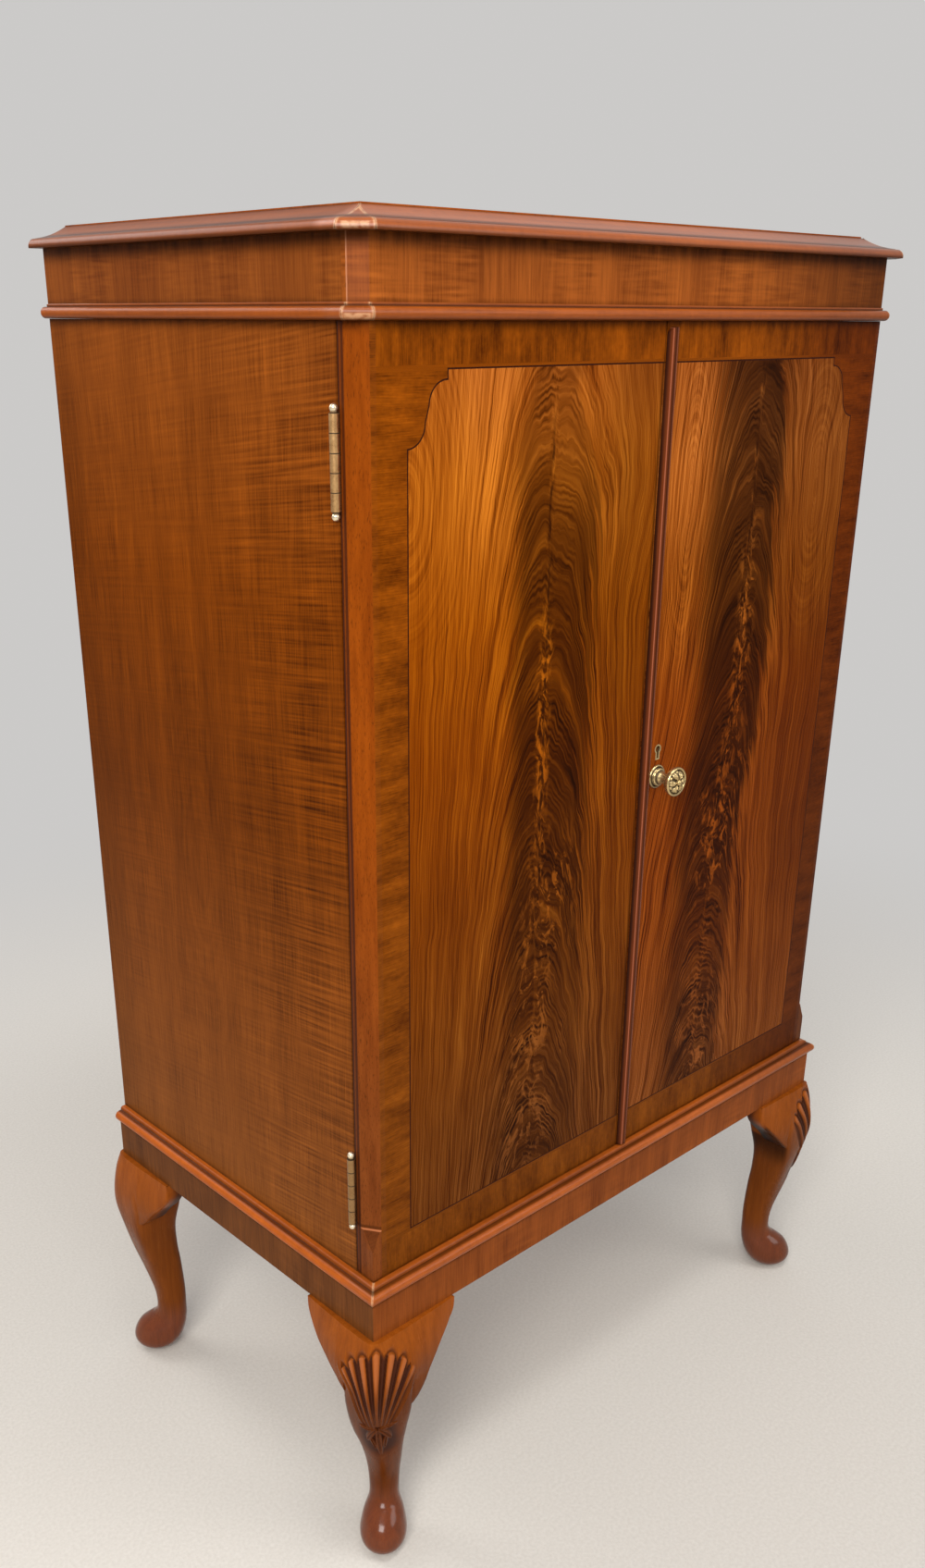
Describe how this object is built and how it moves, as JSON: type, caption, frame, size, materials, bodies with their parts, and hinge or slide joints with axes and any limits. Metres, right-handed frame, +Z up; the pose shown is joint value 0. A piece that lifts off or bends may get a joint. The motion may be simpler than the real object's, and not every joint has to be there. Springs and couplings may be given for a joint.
{
  "type": "bar cabinet",
  "caption": "Mahogany bar cabinet on cabriole legs with carved knees: flame-veneered doors, a lift-up lid over a fitted well, a shelf, brass hinges, lock and knob.",
  "frame": {"origin": "on the floor, under the middle of the whole piece", "axes": "+Z up, +X to the right seen from the front, -Y towards the front, out of the door faces"},
  "size_m": [0.8084, 0.5212, 1.3422],
  "materials": {
    "mahogany": "french polished",
    "leg_wood": "french polished",
    "crossband": "french polished",
    "flame_veneer": "french polished",
    "stringing": "french polished",
    "inner_wood": "waxed",
    "brass": "aged",
    "mirror": "silvered"
  },
  "bodies": {
    "carcase": {"front_left_leg": "leg_wood", "front_right_leg": "leg_wood", "back_left_leg": "leg_wood", "back_right_leg": "leg_wood", "front_knee_blocks": "leg_wood", "back_knee_blocks": "leg_wood", "front_apron": "mahogany", "back_apron": "mahogany", "left_apron": "mahogany", "right_apron": "mahogany", "base_moulding": "mahogany", "case_sill": "mahogany", "left_side": "mahogany", "right_side": "mahogany", "case_bottom": "inner_wood", "case_back": "inner_wood", "case_back_rail": "mahogany", "well_deck": "inner_wood", "well_fascia": "mahogany", "shelf": "inner_wood", "shelf_pegs": "brass", "left_hinge_case_leaves": "brass", "left_hinge_pins": "brass", "right_hinge_case_leaves": "brass", "right_hinge_pins": "brass", "lid_hinge_case_leaves": "brass", "lid_hinge_pins": "brass", "stay_keeper": "brass"},
    "left_door": {"left_door_core": "mahogany", "left_door_stile": "mahogany", "left_crossband": "crossband", "left_stringing": "stringing", "left_flame_veneer": "flame_veneer", "left_hinge_door_leaves": "brass", "strike_plate": "brass", "foot_bolt_plate": "brass"},
    "right_door": {"right_door_core": "mahogany", "right_door_stile": "mahogany", "right_crossband": "crossband", "right_stringing": "stringing", "right_flame_veneer": "flame_veneer", "astragal": "mahogany", "right_hinge_door_leaves": "brass", "knob_rose": "brass", "knob": "brass", "knob_screw": "brass", "escutcheon": "brass", "lock_case": "brass"},
    "lid": {"lid_panel": "mahogany", "lid_moulding": "mahogany", "lid_front_rail": "mahogany", "lid_back_rail": "mahogany", "lid_left_rail": "mahogany", "lid_right_rail": "mahogany", "lid_bead": "mahogany", "lid_mirror": "mirror", "lid_hinge_lid_leaves": "brass", "lid_stay": "brass"},
    "lock_bolt": {"lock_bolt": "brass"},
    "foot_bolt": {"foot_bolt": "brass"}
  },
  "joints": [
    {"name": "left_door_hinge", "type": "hinge", "parent": "carcase", "child": "left_door", "pos_m": [-0.3843, -0.20058, 0.8], "axis": [0, 0, -1], "range_deg": [0, 175]},
    {"name": "right_door_hinge", "type": "hinge", "parent": "carcase", "child": "right_door", "pos_m": [0.3843, -0.20058, 0.8], "axis": [0, 0, 1], "range_deg": [0, 175]},
    {"name": "lid_hinge", "type": "hinge", "parent": "carcase", "child": "lid", "pos_m": [0, 0.24912, 1.2594], "axis": [-1, 0, 0], "range_deg": [0, 74]},
    {"name": "lock_bolt_slide", "type": "slide", "parent": "right_door", "child": "lock_bolt", "axis": [-1, 0, 0], "range_m": [0, 0.007]},
    {"name": "foot_bolt_slide", "type": "slide", "parent": "left_door", "child": "foot_bolt", "axis": [0, 0, -1], "range_m": [0, 0.008]}
  ]
}
